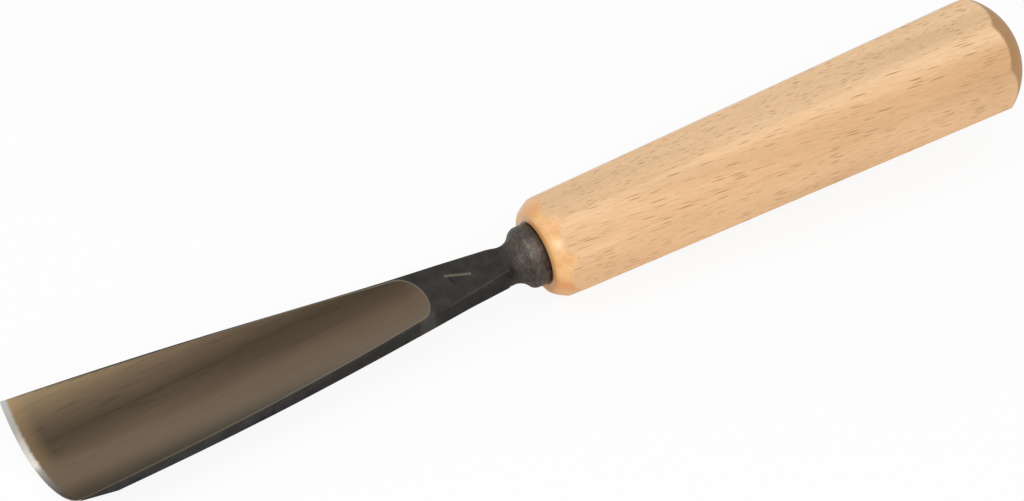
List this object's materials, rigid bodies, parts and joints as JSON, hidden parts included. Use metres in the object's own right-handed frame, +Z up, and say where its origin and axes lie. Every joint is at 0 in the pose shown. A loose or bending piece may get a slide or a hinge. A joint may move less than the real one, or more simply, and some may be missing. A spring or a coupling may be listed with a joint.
{
  "type": "carving gouge",
  "caption": "Carving gouge with a shallow fishtail blade, rounded bolster and eight-sided domed wooden handle, lying channel up.",
  "frame": {"origin": "middle of the bounding box at bench level, under the bolster", "axes": "+X along the tool from the cutting edge towards the butt, +Z up off the bench, channel facing up; the tool's own axis leans 4.2 degrees nose down, as it lies"},
  "size_m": [0.2754, 0.0407, 0.0372],
  "materials": {
    "forged_steel": "black forge scale with a ground, polished channel and a honed edge",
    "beech": "clear satin lacquer on steamed beech, grain along the handle",
    "ring_steel": "plain drawn tube, hidden in the handle"
  },
  "bodies": {
    "root": {"gouge_blade": "forged_steel", "handle": "beech", "inner_ferrule": "ring_steel"}
  },
  "joints": []
}
